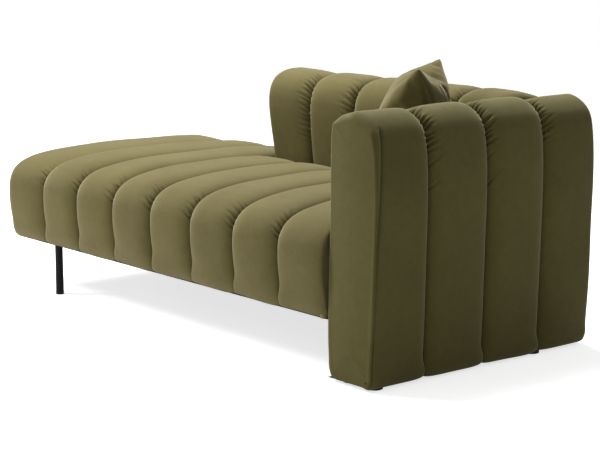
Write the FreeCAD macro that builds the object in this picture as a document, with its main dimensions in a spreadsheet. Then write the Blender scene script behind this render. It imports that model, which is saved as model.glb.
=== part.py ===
"""Channel-tufted daybed: a chaise seat with a half-length backrest, one armrest and a loose pillow.

Frame: millimetres, +Z up. +X runs along the daybed from its open foot end to its armrest, +Y runs
from its front to its back, and the origin is on the floor under the middle of the base.
"""
import FreeCAD
import Part
import Sketcher
import math
import os
import re

doc = FreeCAD.newDocument("Daybed")
sheet = doc.addObject("Spreadsheet::Sheet", "Dimensions")

DIMENSIONS = [
    ("channel_pitch", 192, "width of one upholstered channel of the seat"),
    ("seat_channels", 8, "channels along the seat"),
    ("open_channels", 3, "channels at the foot end that have no backrest behind them"),
    ("arm_thickness", 178, "armrest, inner face to outer face"),
    ("back_first_channel", 168, "width of the backrest channel at its open end"),
    ("back_last_channel", 180, "width of the backrest channel beside the armrest"),
    ("arm_channels", 4, "channels along the armrest"),
    ("arm_first_channel", 188, "width of the front channel of the armrest"),
    ("arm_last_channel", 182, "width of the rear channel of the armrest"),
    ("overall_depth", 828, "front of the seat to the back"),
    ("front_crown", 20, "how far the seat front stands proud of the armrest front"),
    ("arm_height", 700, "floor to the top of the armrest"),
    ("back_height", 690, "floor to the top of the backrest"),
    ("back_thickness", 205, "front of the backrest to the back"),
    ("seat_underside", 160, "floor to the underside of the seat"),
    ("seat_height", 438, "floor to the top of the seat"),
    ("slab_underside", 280, "floor to the underside of the seat cushioning"),
    ("seam_gap", 1, "between neighbouring channels"),
    ("channel_round", 22, "rounding along the sides of a channel"),
    ("seat_round", 70, "rounding over the front and rear edge of the seat"),
    ("back_round", 60, "rounding over the top edges of the backrest"),
    ("arm_round", 44, "rounding over the top edges of the armrest"),
    ("border", 26, "padded borders below the seat cushioning"),
    ("front_tuck", 20, "how far the front border pulls in at its lower edge"),
    ("timber", 38, "thickness of the frame timbers"),
    ("timber_face", 90, "face width of the backrest and armrest timbers"),
    ("rail_bottom", 164, "floor to the underside of the seat rails"),
    ("rail_height", 110, "height of the seat rails"),
    ("rail_inset", 53, "seat front to the middle of the front rail, and the same at the back"),
    ("cover_skin", 8, "flat padded covers at the front and rear of armrest and backrest"),
    ("back_slab", 102, "cushioning in front of the backrest frame"),
    ("arm_pad", 57, "cushioning on each side of the armrest frame"),
    ("board", 3, "hardboard on both sides of the armrest frame"),
    ("cap_pad", 40, "cushioning over the top of the armrest and backrest frames"),
    ("dust_cloth", 1, "lining under the seat and the armrest"),
    ("strap_width", 60, "elastic webbing"),
    ("strap_thickness", 2, "elastic webbing"),
    ("leg_diameter", 24, "round steel leg"),
    ("leg_wall", 2, "wall of the leg tube"),
    ("leg_from_foot", 220, "foot end to the leg axis"),
    ("leg_top", 163, "floor to the top of the leg"),
    ("cap_height", 10, "plastic leg cap below the tube"),
    ("glide_diameter", 44, "round glides under the armrest"),
    ("glide_height", 10, "armrest glides"),
    ("glide_inset", 46, "armrest face to the glide axis"),
    ("glide_front", 50, "armrest front to the front glide axis"),
    ("glide_rear", 622, "armrest front to the rear glide axis"),
    ("bolt_diameter", 8, "bolts and leg studs"),
    ("screw_diameter", 6, "backrest screws"),
    ("pillow_side", 360, "square pillow"),
    ("pillow_thickness", 130, "pillow at its middle"),
    ("pillow_lean", 19, "degrees that the pillow leans back"),
    ("pillow_turn", 53, "degrees that the pillow is turned out of line with the backrest"),
    ("pillow_gap", 5, "pillow corners to the armrest and backrest"),
]

for row, (alias, value, note) in enumerate(DIMENSIONS, start=1):
    sheet.set(f"A{row}", alias)
    sheet.set(f"B{row}", str(value))
    sheet.set(f"C{row}", note)
    sheet.setAlias(f"B{row}", alias)
doc.recompute()

ALIAS = re.compile(r"\b(" + "|".join(alias for alias, _, _ in DIMENSIONS) + r")\b")

# Places that many sub-parts share, as formulas of the sheet's cells.
FOOT_X = "(-(seat_channels * channel_pitch + arm_thickness) / 2)"
ARM_X = f"({FOOT_X} + seat_channels * channel_pitch)"
OUTER_X = f"({ARM_X} + arm_thickness)"
BACK_X = f"({FOOT_X} + open_channels * channel_pitch)"
FRONT_Y = "(-overall_depth / 2)"
REAR_Y = "(overall_depth / 2)"
BACK_Y = f"({REAR_Y} - back_thickness)"
ARM_FRONT_Y = f"({FRONT_Y} + front_crown)"
RAIL_TOP = "(rail_bottom + rail_height)"

parts = {}


def value(name):
    """The number in one cell of the sheet."""
    return float(sheet.get(name))


def bind(item, prop, formula):
    """Tie a property of a document object to a formula of the sheet's cells."""
    item.setExpression(prop, ALIAS.sub(r"Dimensions.\1", str(formula)))


def place(item, x, y, z):
    """Tie an object's position to formulas."""
    bind(item, "Placement.Base.x", x)
    bind(item, "Placement.Base.y", y)
    bind(item, "Placement.Base.z", z)


def keep(item, node):
    """Make an object a sub-part, under the name of its file."""
    item.Label = node
    parts[node] = item
    return item


def box(name, size, corner):
    """A rectangular solid, given its size and its lowest corner."""
    item = doc.addObject("Part::Box", name)
    bind(item, "Length", size[0])
    bind(item, "Width", size[1])
    bind(item, "Height", size[2])
    place(item, *corner)
    return item


def cylinder(name, diameter, height, foot, along="z"):
    """A round solid that starts at foot and runs along +X or +Z."""
    item = doc.addObject("Part::Cylinder", name)
    bind(item, "Radius", f"({diameter}) / 2")
    bind(item, "Height", height)
    if along == "x":
        item.Placement.Rotation = FreeCAD.Rotation(FreeCAD.Vector(0, 1, 0), 90)
    place(item, *foot)
    return item


def group(name, members):
    """Several solids in one object."""
    item = doc.addObject("Part::Compound", name)
    item.Links = members
    return item


def fuse(name, first, second):
    """Two solids made one."""
    item = doc.addObject("Part::Fuse", name)
    item.Base = first
    item.Tool = second
    return item


def drill(name, solid, holes):
    """A solid less a list of hole solids."""
    item = doc.addObject("Part::Cut", name)
    item.Base = solid
    item.Tool = group(f"{name}_holes", holes)
    return item


def block(node, size, corner, rounds=()):
    """A padded block: a rectangle on the body's XY plane, a pad, and then its rounded edges.

    rounds lists (test, radius) pairs: test is given an edge's middle as fractions of the block's
    size, and says whether the edge takes that radius.
    """
    body = doc.addObject("PartDesign::Body", node)
    sketch = body.newObject("Sketcher::SketchObject", f"{node}_outline")
    plane = next(p for p in body.Origin.OriginFeatures if p.Role == "XY_Plane")
    sketch.AttachmentSupport = [(plane, "")]
    sketch.MapMode = "FlatFace"
    corners = [FreeCAD.Vector(*p, 0) for p in ((0, 0), (100, 0), (100, 100), (0, 100))]
    for i, start in enumerate(corners):
        sketch.addGeometry(Part.LineSegment(start, corners[(i + 1) % 4]))
    for i in range(4):
        sketch.addConstraint(Sketcher.Constraint("Coincident", i, 2, (i + 1) % 4, 1))
        sketch.addConstraint(Sketcher.Constraint("Vertical" if i % 2 else "Horizontal", i))
    sketch.addConstraint(Sketcher.Constraint("Coincident", 0, 1, -1, 1))
    for line, kind, prop, length in ((0, "DistanceX", "across", size[0]), (1, "DistanceY", "deep", size[1])):
        index = sketch.addConstraint(Sketcher.Constraint(kind, line, 1, line, 2, 100))
        sketch.renameConstraint(index, prop)
        bind(sketch, f"Constraints.{prop}", length)
    pad = body.newObject("PartDesign::Pad", f"{node}_pad")
    pad.Profile = sketch
    bind(pad, "Length", size[2])
    doc.recompute()
    last = pad
    bounds = last.Shape.BoundBox
    spans = (bounds.XLength, bounds.YLength, bounds.ZLength)
    for step, (test, radius) in enumerate(rounds):
        chosen = []
        for number, edge in enumerate(last.Shape.Edges, start=1):
            middle = edge.valueAt((edge.FirstParameter + edge.LastParameter) / 2)
            if test(*(m / s for m, s in zip(middle, spans))):
                chosen.append(f"Edge{number}")
        fillet = body.newObject("PartDesign::Fillet", f"{node}_round_{step}")
        fillet.Base = (last, chosen)
        bind(fillet, "Radius", radius)
        doc.recompute()
        last = fillet
    body.Tip = last
    place(body, *corner)
    return keep(body, node)


NEAR = 0.02  # how close, as a fraction of its size, an edge lies to a face of its block


def low(t):
    return t < NEAR


def high(t):
    return t > 1 - NEAR


def top_front(x, y, z):
    return low(y) and high(z)


def top_rear(x, y, z):
    return high(y) and high(z)


def top_front_or_rear(x, y, z):
    return high(z) and (low(y) or high(y))


def top_inner(x, y, z):
    return low(x) and high(z)


def top_outer(x, y, z):
    return high(x) and high(z)


def sides_on_top(x, y, z):
    return (low(x) or high(x)) and high(z)


def sides_in_front(x, y, z):
    return (low(x) or high(x)) and low(y) and z < 0.8


def sides_outside(x, y, z):
    return high(x) and (low(y) or high(y)) and z < 0.9


def seat_channels():
    """The seat's cushioned channels: full depth at the open end, up to the backrest elsewhere."""
    for k in range(int(value("seat_channels"))):
        open_end = k < value("open_channels")
        rear = REAR_Y if open_end else f"({BACK_Y} - 2 * seam_gap)"
        block(
            f"seat_channel_{k + 1}",
            ("channel_pitch - seam_gap", f"{rear} - {FRONT_Y}", "seat_height - slab_underside"),
            (f"{FOOT_X} + {k} * channel_pitch + seam_gap / 2", FRONT_Y, "slab_underside"),
            [(top_front_or_rear, "seat_round"), (sides_on_top, "channel_round")],
        )


def seat_borders():
    """Padded borders that carry the seat's cover down over the rails, on three sides."""
    height = "slab_underside - seam_gap - seat_underside"
    long_side = "seat_channels * channel_pitch - seam_gap"
    block(
        "seat_front_border",
        (long_side, "border", height),
        (FOOT_X, FRONT_Y, "seat_underside"),
        [(lambda x, y, z: low(y) and low(z), "front_tuck")],
    )
    block(
        "seat_rear_border",
        (long_side, "border", f"{RAIL_TOP} - seat_underside"),
        (FOOT_X, f"{REAR_Y} - border", "seat_underside"),
    )
    block(
        "seat_foot_border",
        ("border", "overall_depth - 2 * border - 2 * seam_gap", height),
        (FOOT_X, f"{FRONT_Y} + border + seam_gap", "seat_underside"),
    )


def seat_frame():
    """Six timber rails on edge, glued and screwed into a ladder."""
    start_x = f"({FOOT_X} + border + 2 * seam_gap)"
    length = f"{ARM_X} - {start_x}"
    front_y = f"({FRONT_Y} + rail_inset - timber / 2)"
    back_y = f"({REAR_Y} - rail_inset - timber / 2)"
    leg_x = f"{FOOT_X} + leg_from_foot"
    stud_hole = "bolt_diameter + 2"
    tee_nut_depth = 48
    for node, y in (("seat_front_rail", front_y), ("seat_back_rail", back_y)):
        rail = box(f"{node}_timber", (length, "timber", "rail_height"), (start_x, y, "rail_bottom"))
        holes = [cylinder(f"{node}_stud_hole", stud_hole, tee_nut_depth,
                          (leg_x, f"{y} + timber / 2", "rail_bottom"))]
        if node == "seat_back_rail":
            holes += [
                cylinder(f"{node}_screw_hole_{i}", "screw_diameter", SCREW_DEPTH,
                         (x, f"{y} + timber / 2", f"{RAIL_TOP} - {SCREW_DEPTH}"))
                for i, x in enumerate(screw_places())
            ]
        keep(drill(node, rail, holes), node)
    between = f"{back_y} - {front_y} - timber"
    cross_y = f"{front_y} + timber"
    for node, x in (
        ("seat_foot_rail", start_x),
        ("seat_middle_rail", f"{BACK_X} - timber / 2"),
    ):
        keep(box(node, ("timber", between, "rail_height"), (x, cross_y, "rail_bottom")), node)
    head = box("seat_head_rail_timber", ("timber", between, "rail_height"),
               (f"{ARM_X} - timber", cross_y, "rail_bottom"))
    keep(drill("seat_head_rail", head, bolt_holes("head", f"{ARM_X} - timber", "timber")), "seat_head_rail")
    inner_x = f"({BACK_X} + timber / 2)"
    keep(box("seat_inner_rail", (f"{ARM_X} - timber - {inner_x}", "timber", "rail_height"),
             (inner_x, f"{BACK_Y} + seam_gap", "rail_bottom")), "seat_inner_rail")


SCREWS = 5
SCREW_DEPTH = 50


def screw_places():
    """Positions along the backrest of the screws that hold it down on the seat's back rail."""
    edge = 110
    step = f"({ARM_X} - {BACK_X} - 2 * {edge}) / {SCREWS - 1}"
    return [f"{BACK_X} + {edge} + {i} * {step}" for i in range(SCREWS)]


BOLTS = 4
BOLT_SPACING = 180


def bolt_places():
    """Positions across the daybed of the bolts that hold the armrest to the seat."""
    return [(i - (BOLTS - 1) / 2) * BOLT_SPACING for i in range(BOLTS)]


def bolt_holes(name, x, length):
    """Clearance holes for the armrest bolts, through a timber or board that starts at x."""
    return [
        cylinder(f"{name}_bolt_hole_{i}", "bolt_diameter + 1", length,
                 (x, y, "rail_bottom + rail_height / 2"), "x")
        for i, y in enumerate(bolt_places())
    ]


def webbing():
    """Elastic straps on the rails, front to back, and a second layer along the seat."""
    clear = 20
    rail_middle = f"({FRONT_Y} + rail_inset)"
    straps = []
    count = 2 * int(value("seat_channels"))
    for i in range(count):
        open_end = i < 2 * value("open_channels")
        end = f"({REAR_Y} - rail_inset)" if open_end else f"({BACK_Y} + timber / 2)"
        x = f"{FOOT_X} + border + {clear} + {i} * (channel_pitch / 2 - 3)"
        straps.append(box(f"strap_{i}", ("strap_width", f"{end} - {rail_middle}", "strap_thickness"),
                          (x, rail_middle, RAIL_TOP)))
    rows = 4
    first = 70
    spacing = 140
    for i in range(rows):
        y = f"{FRONT_Y} + {first} + {i} * {spacing}"
        size = (f"{ARM_X} - {FOOT_X} - 3 * border", "strap_width", "strap_thickness")
        corner = (f"{FOOT_X} + 2 * border", y, f"{RAIL_TOP} + strap_thickness")
        straps.append(box(f"long_strap_{i}", size, corner))
    keep(group("seat_webbing", straps), "seat_webbing")


def seat_lining():
    """Dust cover stapled under the seat, with a round hole at each leg."""
    length = f"{ARM_X} - {FOOT_X} - border - 2 * seam_gap"
    cloth = box(
        "seat_lining_cloth",
        (length, "overall_depth - 2 * border - 2 * seam_gap", "dust_cloth"),
        (f"{FOOT_X} + border + 2 * seam_gap", f"{FRONT_Y} + border + seam_gap", "seat_underside"),
    )
    holes = [cylinder(f"lining_hole_{i}", "leg_diameter + 10", "dust_cloth", (*leg, "seat_underside"))
             for i, leg in enumerate(leg_places())]
    keep(drill("seat_lining", cloth, holes), "seat_lining")


def leg_places():
    """Front and rear leg axes, under the middles of the long rails."""
    x = f"{FOOT_X} + leg_from_foot"
    return [(x, f"{FRONT_Y} + rail_inset"), (x, f"{REAR_Y} - rail_inset")]


def tee_nut(name, foot, along="z"):
    """A flanged, threaded barrel: its flange starts at foot and its barrel runs on from there."""
    depth = 12
    rim = cylinder(f"{name}_rim", "leg_diameter", 1, foot, along)
    barrel = cylinder(f"{name}_barrel", "bolt_diameter + 2", depth, foot, along)
    thread = cylinder(f"{name}_thread", "bolt_diameter", depth, foot, along)
    return drill(name, fuse(f"{name}_blank", barrel, rim), [thread])


def legs():
    """Slim tube legs: closed top, plastic cap below, and a threaded stud up into the rail."""
    plug = 14
    top_wall = 6
    stud_down = 12
    stud_up = 30
    studs = []
    for side, (x, y) in zip(("front", "rear"), leg_places()):
        tube = cylinder(f"{side}_tube", "leg_diameter", "leg_top - cap_height", (x, y, "cap_height"))
        bore = cylinder(f"{side}_bore", "leg_diameter - 2 * leg_wall",
                        f"leg_top - cap_height - {top_wall}", (x, y, "cap_height"))
        stud_hole = cylinder(f"{side}_stud_hole", "bolt_diameter", top_wall, (x, y, f"leg_top - {top_wall}"))
        keep(drill(f"{side}_leg", tube, [bore, stud_hole]), f"{side}_leg")
        disc = cylinder(f"{side}_cap_disc", "leg_diameter + 1", "cap_height", (x, y, 0))
        spigot = cylinder(f"{side}_cap_spigot", "leg_diameter - 2 * leg_wall", plug, (x, y, "cap_height"))
        keep(fuse(f"{side}_leg_cap", disc, spigot), f"{side}_leg_cap")
        studs.append(cylinder(f"{side}_stud", "bolt_diameter", stud_down + stud_up,
                              (x, y, f"leg_top - {stud_down}")))
    keep(group("leg_studs", studs), "leg_studs")


def uneven_channels(count, first, last, whole):
    """Start and width of each channel in a row whose end channels have widths of their own."""
    inner = f"(({whole} - {first} - {last}) / {count - 2})"
    spans = [("0", first)]
    spans += [(f"({first} + {k} * {inner})", inner) for k in range(count - 2)]
    spans.append((f"({whole} - {last})", last))
    return spans


def backrest_channels():
    """The backrest's cushioned channels, from behind the seat up to the rounded top edge."""
    count = int(value("seat_channels") - value("open_channels"))
    spans = uneven_channels(count, "back_first_channel", "back_last_channel", f"({ARM_X} - {BACK_X})")
    for k, (start, width) in enumerate(spans):
        block(
            f"backrest_channel_{k + 1}",
            (f"{width} - seam_gap", "back_slab - seam_gap", "back_height - slab_underside - seam_gap"),
            (f"{BACK_X} + {start} + seam_gap / 2", BACK_Y, "slab_underside + seam_gap"),
            [(top_front, "back_round"), (sides_in_front, "channel_round")],
        )


def backrest_pads():
    """Pad over the top of the frame, pad on its open end, and the flat cover behind."""
    frame_y = f"({BACK_Y} + back_slab)"
    depth = "back_thickness - back_slab"
    length = f"{ARM_X} - {BACK_X} - seam_gap"
    end = "(border - 4)"
    below_cap = "back_height - cap_pad - slab_underside - 2 * seam_gap"
    block("backrest_top_pad", (length, depth, "cap_pad"),
          (f"{BACK_X} + seam_gap / 2", frame_y, "back_height - cap_pad"),
          [(top_rear, "cap_pad - 2")])
    keep(box("backrest_end_pad", (end, f"{depth} - cover_skin - 2 * seam_gap", below_cap),
             (f"{BACK_X} + seam_gap / 2", f"{frame_y} + seam_gap", "slab_underside + seam_gap")),
         "backrest_end_pad")
    keep(box("backrest_rear_cover", (length, "cover_skin", below_cap),
             (f"{BACK_X} + seam_gap / 2", f"{REAR_Y} - cover_skin", "slab_underside + seam_gap")),
         "backrest_rear_cover")


def backrest_frame():
    """Two posts and two rails that stand on the seat frame, with a hardboard face."""
    sheet_thickness = 4
    frame_y = f"({BACK_Y} + back_slab + {sheet_thickness})"
    face = f"({REAR_Y} - cover_skin - seam_gap - {frame_y})"
    post_height = f"(back_height - cap_pad - seam_gap - {RAIL_TOP})"
    foot_x = f"({BACK_X} + border - 2)"
    head_x = f"({ARM_X} - timber - seam_gap)"
    between = f"({head_x} - {foot_x} - timber)"
    for node, x in (("backrest_foot_post", foot_x), ("backrest_head_post", head_x)):
        keep(box(node, ("timber", face, post_height), (x, frame_y, RAIL_TOP)), node)
    keep(box("backrest_top_rail", (between, face, "timber"),
             (f"{foot_x} + timber", frame_y, f"{RAIL_TOP} + {post_height} - timber")), "backrest_top_rail")
    bottom = box("backrest_bottom_rail_timber", (between, face, "timber"),
                 (f"{foot_x} + timber", frame_y, RAIL_TOP))
    screw_y = f"{REAR_Y} - rail_inset"
    holes = [cylinder(f"bottom_rail_hole_{i}", "screw_diameter", "timber", (x, screw_y, RAIL_TOP))
             for i, x in enumerate(screw_places())]
    keep(drill("backrest_bottom_rail", bottom, holes), "backrest_bottom_rail")
    keep(box("backrest_board", (f"{between} + 2 * timber", sheet_thickness, post_height),
             (foot_x, f"{BACK_Y} + back_slab", RAIL_TOP)), "backrest_board")
    head_height = 3
    screws = []
    for i, x in enumerate(screw_places()):
        shank = cylinder(f"screw_shank_{i}", "screw_diameter", f"timber + {SCREW_DEPTH}",
                         (x, screw_y, f"{RAIL_TOP} - {SCREW_DEPTH}"))
        head = cylinder(f"screw_head_{i}", "2 * screw_diameter", head_height,
                        (x, screw_y, f"{RAIL_TOP} + timber"))
        screws.append(fuse(f"screw_{i}", shank, head))
    keep(group("backrest_screws", screws), "backrest_screws")


def arm_channels():
    """The cushioned channels on the outer side of the armrest, down to just above the floor."""
    whole = "(overall_depth - front_crown - 2 * cover_skin)"
    spans = uneven_channels(int(value("arm_channels")), "arm_first_channel", "arm_last_channel", whole)
    for k, (start, width) in enumerate(spans):
        block(
            f"arm_channel_{k + 1}",
            ("arm_pad", f"{width} - seam_gap", "arm_height - cap_pad - glide_height"),
            (f"{OUTER_X} - arm_pad", f"{ARM_FRONT_Y} + cover_skin + {start} + seam_gap / 2", "glide_height"),
            [(sides_outside, "channel_round / 2")],
        )


def arm_pads():
    """Pad over the top, pad inside, flat covers at the front and rear, and the lower inner cover."""
    depth = "(overall_depth - front_crown)"
    inside = "(2 * cover_skin + 2 * seam_gap)"
    block("arm_top_pad", ("arm_thickness", f"{depth} - {inside}", "cap_pad - seam_gap"),
          (ARM_X, f"{ARM_FRONT_Y} + {inside} / 2", "arm_height - cap_pad + seam_gap"),
          [(lambda x, y, z: top_inner(x, y, z) or top_outer(x, y, z), "cap_pad - 3")])
    above_seat_frame = "arm_height - cap_pad - slab_underside - seam_gap"
    keep(box("arm_inner_pad", ("arm_pad", f"{depth} - {inside}", above_seat_frame),
             (ARM_X, f"{ARM_FRONT_Y} + {inside} / 2", "slab_underside + seam_gap")), "arm_inner_pad")
    for node, y in (("arm_front_panel", ARM_FRONT_Y), ("arm_rear_panel", f"{REAR_Y} - cover_skin")):
        block(node, ("arm_thickness", "cover_skin", "arm_height - glide_height - 3 * seam_gap"),
              (ARM_X, y, "glide_height"), [(sides_on_top, "arm_round")])
    lower = box("arm_lower_cover_sheet", ("board", f"{depth} - {inside}", "slab_underside - glide_height"),
                (ARM_X, f"{ARM_FRONT_Y} + {inside} / 2", "glide_height"))
    keep(drill("arm_lower_cover", lower, bolt_holes("cover", ARM_X, "board")), "arm_lower_cover")


def arm_frame():
    """Two posts, two rails and a ledger, between two hardboard sides."""
    x = f"({ARM_X} + arm_pad + board)"
    width = "(arm_thickness - 2 * arm_pad - 2 * board)"
    bottom = "(glide_height + dust_cloth)"
    height = f"(arm_height - cap_pad - {bottom})"
    front_y = f"({ARM_FRONT_Y} + cover_skin + seam_gap)"
    rear_y = f"({REAR_Y} - cover_skin - seam_gap - timber_face)"
    between = f"({rear_y} - {front_y} - timber_face)"
    for node, y in (("arm_front_post", front_y), ("arm_rear_post", rear_y)):
        keep(box(node, (width, "timber_face", height), (x, y, bottom)), node)
    for node, z in (("arm_bottom_rail", bottom), ("arm_top_rail", f"{bottom} + {height} - timber")):
        keep(box(node, (width, between, "timber"), (x, f"{front_y} + timber_face", z)), node)
    whole = f"{between} + 2 * timber_face"
    keep(box("arm_outer_board", ("board", whole, height),
             (f"{x} + {width}", front_y, bottom)), "arm_outer_board")
    inner = box("arm_inner_board_sheet", ("board", whole, height), (f"{x} - board", front_y, bottom))
    keep(drill("arm_inner_board", inner, bolt_holes("board", f"{x} - board", "board")), "arm_inner_board")
    ledger_x = f"({ARM_X} + board)"
    ledger = box("arm_ledger_timber", (f"{x} - board - {ledger_x}", f"{whole} - rail_inset", "rail_height"),
                 (ledger_x, f"{front_y} + rail_inset", "rail_bottom"))
    keep(drill("arm_ledger", ledger, bolt_holes("ledger", ledger_x, "arm_pad")), "arm_ledger")
    keep(box("arm_lining", ("arm_thickness - arm_pad - board - seam_gap", whole, "dust_cloth"),
             (f"{ARM_X} + board", front_y, "glide_height")), "arm_lining")


def arm_glides():
    """Four round glides that carry the armrest, two along its inner side and two along its outer."""
    edge = 1.5
    glides = []
    for side, x in (("inner", f"{ARM_X} + glide_inset"), ("outer", f"{OUTER_X} - glide_inset")):
        for end in ("front", "rear"):
            name = f"glide_{side}_{end}"
            disc = cylinder(f"{name}_disc", "glide_diameter", "glide_height",
                            (x, f"{ARM_FRONT_Y} + glide_{end}", 0))
            doc.recompute()
            rim = min(range(len(disc.Shape.Edges)), key=lambda i: disc.Shape.Edges[i].BoundBox.ZMax)
            soft = doc.addObject("Part::Fillet", name)
            soft.Base = disc
            soft.Edges = [(rim + 1, edge, edge)]
            glides.append(soft)
    keep(group("arm_glides", glides), "arm_glides")


def fixings():
    """Hexagon bolts from inside the seat frame into the armrest, and the tee nuts for bolts and legs."""
    head_height = 5
    washer = 2
    middle_z = "rail_bottom + rail_height / 2"
    reach = "(timber + arm_pad + board)"
    bolts = []
    nuts = [tee_nut(f"leg_nut_{i}", (*leg, "leg_top")) for i, leg in enumerate(leg_places())]
    for i, y in enumerate(bolt_places()):
        start = f"({ARM_X} - timber)"
        under_head = (f"{start} - {washer}", y, middle_z)
        shank = cylinder(f"bolt_shank_{i}", "bolt_diameter", f"{reach} + {washer}", under_head, "x")
        disc = cylinder(f"bolt_washer_{i}", "3 * bolt_diameter", washer, under_head, "x")
        head = doc.addObject("Part::Prism", f"bolt_head_{i}")
        bind(head, "Circumradius", "bolt_diameter * 0.94")
        bind(head, "Height", head_height)
        head.Placement.Rotation = FreeCAD.Rotation(FreeCAD.Vector(0, 1, 0), 90)
        place(head, f"{start} - {washer} - {head_height}", y, middle_z)
        bolts.append(fuse(f"bolt_{i}", fuse(f"bolt_blank_{i}", shank, disc), head))
        nuts.append(tee_nut(f"arm_nut_{i}", (f"{ARM_X} + arm_pad + board", y, middle_z), "x"))
    keep(group("arm_bolts", bolts), "arm_bolts")
    keep(group("tee_nuts", nuts), "tee_nuts")


def throw_pillow():
    """A square pillow, thick in the middle and thin at its edges, that leans into the corner."""
    flat = 0.55
    rings = []
    for name, share, depth in (("back", flat, -0.5), ("seam", 1.0, 0.0), ("front", flat, 0.5)):
        ring = doc.addObject("Part::RegularPolygon", f"pillow_{name}")
        ring.Polygon = 4
        bind(ring, "Circumradius", f"pillow_side * {share / math.sqrt(2)}")
        ring.Placement.Rotation = FreeCAD.Rotation(FreeCAD.Vector(0, 0, 1), 45)
        bind(ring, "Placement.Base.z", f"pillow_thickness * {depth}")
        rings.append(ring)
    pillow = doc.addObject("Part::Loft", "throw_pillow")
    pillow.Sections = rings
    pillow.Solid = True
    pillow.Ruled = True
    lean = value("pillow_lean")
    turn = value("pillow_turn")
    half = value("pillow_side") / 2
    upright = FreeCAD.Rotation(FreeCAD.Vector(1, 0, 0), 90 - lean)
    rotation = FreeCAD.Rotation(FreeCAD.Vector(0, 0, 1), -turn) * upright
    arm_face = (value("seat_channels") * value("channel_pitch") - value("arm_thickness")) / 2
    back_face = value("overall_depth") / 2 - value("back_thickness")
    right_corner = rotation.multVec(FreeCAD.Vector(half, half, 0))
    left_corner = rotation.multVec(FreeCAD.Vector(-half, half, 0))
    bottom = rotation.multVec(FreeCAD.Vector(0, -half, 0))
    rest = 0.5
    centre = FreeCAD.Vector(
        arm_face - value("pillow_gap") - right_corner.x,
        back_face - value("pillow_gap") - left_corner.y,
        value("seat_height") + rest - bottom.z,
    )
    pillow.Placement = FreeCAD.Placement(centre, rotation)
    keep(pillow, "throw_pillow")


seat_channels()
seat_borders()
seat_frame()
webbing()
seat_lining()
legs()
backrest_channels()
backrest_pads()
backrest_frame()
arm_channels()
arm_pads()
arm_frame()
arm_glides()
fixings()
throw_pillow()
doc.recompute()

for item in doc.Objects:
    if "Invalid" in item.State or "Error" in item.State:
        raise RuntimeError(f"{item.Label} failed: {item.State}")

os.makedirs("parts", exist_ok=True)
for node, item in parts.items():
    shape = item.Shape
    if shape.isNull() or not shape.isValid():
        raise RuntimeError(f"{node} has no valid shape")
    shape.exportStep(f"parts/{node}.step")
print(f"{len(parts)} sub-parts written")
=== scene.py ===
import math

import bmesh
import bpy
import numpy as np
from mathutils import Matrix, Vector


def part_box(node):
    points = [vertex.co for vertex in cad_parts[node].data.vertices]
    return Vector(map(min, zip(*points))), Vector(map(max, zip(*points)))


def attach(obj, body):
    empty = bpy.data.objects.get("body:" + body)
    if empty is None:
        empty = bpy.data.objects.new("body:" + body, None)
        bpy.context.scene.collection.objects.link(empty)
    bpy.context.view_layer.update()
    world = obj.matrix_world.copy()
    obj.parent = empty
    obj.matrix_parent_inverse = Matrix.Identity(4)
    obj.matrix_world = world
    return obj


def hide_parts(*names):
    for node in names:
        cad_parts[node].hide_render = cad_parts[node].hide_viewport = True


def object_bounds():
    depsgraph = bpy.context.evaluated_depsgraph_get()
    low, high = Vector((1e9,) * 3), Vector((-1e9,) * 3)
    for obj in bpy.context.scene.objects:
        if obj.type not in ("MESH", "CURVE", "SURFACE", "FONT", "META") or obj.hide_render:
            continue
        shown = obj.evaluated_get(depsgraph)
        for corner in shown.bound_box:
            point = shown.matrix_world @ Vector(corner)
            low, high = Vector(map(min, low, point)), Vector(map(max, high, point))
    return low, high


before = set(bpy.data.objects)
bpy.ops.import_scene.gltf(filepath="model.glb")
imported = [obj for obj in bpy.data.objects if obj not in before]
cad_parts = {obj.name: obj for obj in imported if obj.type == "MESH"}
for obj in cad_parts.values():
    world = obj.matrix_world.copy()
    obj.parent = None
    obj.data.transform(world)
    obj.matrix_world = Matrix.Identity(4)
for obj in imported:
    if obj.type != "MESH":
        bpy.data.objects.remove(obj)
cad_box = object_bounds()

# ---------------------------------------------------------------- sizes in metres
VALLEY = 0.030          # how far a seam lies below the crest of its channels
SKIN = 0.004            # thickness of a channel's fabric and backing under its seams
EDGE_ROUND = 0.024      # rounding of a channel that turns a corner onto an end panel
TUCK = 0.030            # fabric turned under the seat and the arm
COARSE, FINE = 0.008, 0.0024    # steps along a channel: plain stretches, gathered ones
HALF_LINES = 14         # lines from a channel's crest to its seam
SOFT, FIRM = 3.4, 4.8   # how square a channel's section is: on the seat, on the uprights
RISE = 2.2              # how steeply a section leaves its seam
CREASE = 0.0034         # half-width of one gathered crease
HEAD_ROUND = 0.012      # rounding of the seat's last channel, beside the arm
HIDDEN_SKIN = 0.0015    # thickness and seam depth where the seat hides the arm
SEAT_COUNT, BACK_COUNT, ARM_COUNT = 8, 5, 4     # channels
OPEN_COUNT = 3          # seat channels at the foot end, with no backrest behind them
FOOT_SAG = (0.006, 0.36, 0.42)  # the foot channel sits lower: how much, between which heights
ARM_SAG = (0.007, 0.62, 0.70)   # the same for the arm's last channel
PILLOW_SIDE = 0.385     # the throw cushion's cover, laid flat
PILLOW_SHIFT = (0.010, 0.010, -0.004)   # from the middle of the CAD pillow to the cushion's
PILLOW_LEAN, PILLOW_TURN = math.radians(19), math.radians(53)
FLOOR_HALF = 30         # the floor reaches this far each way


# ---------------------------------------------------------------- frame measures
def low(node):
    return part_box(node)[0]


def high(node):
    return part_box(node)[1]


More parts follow.
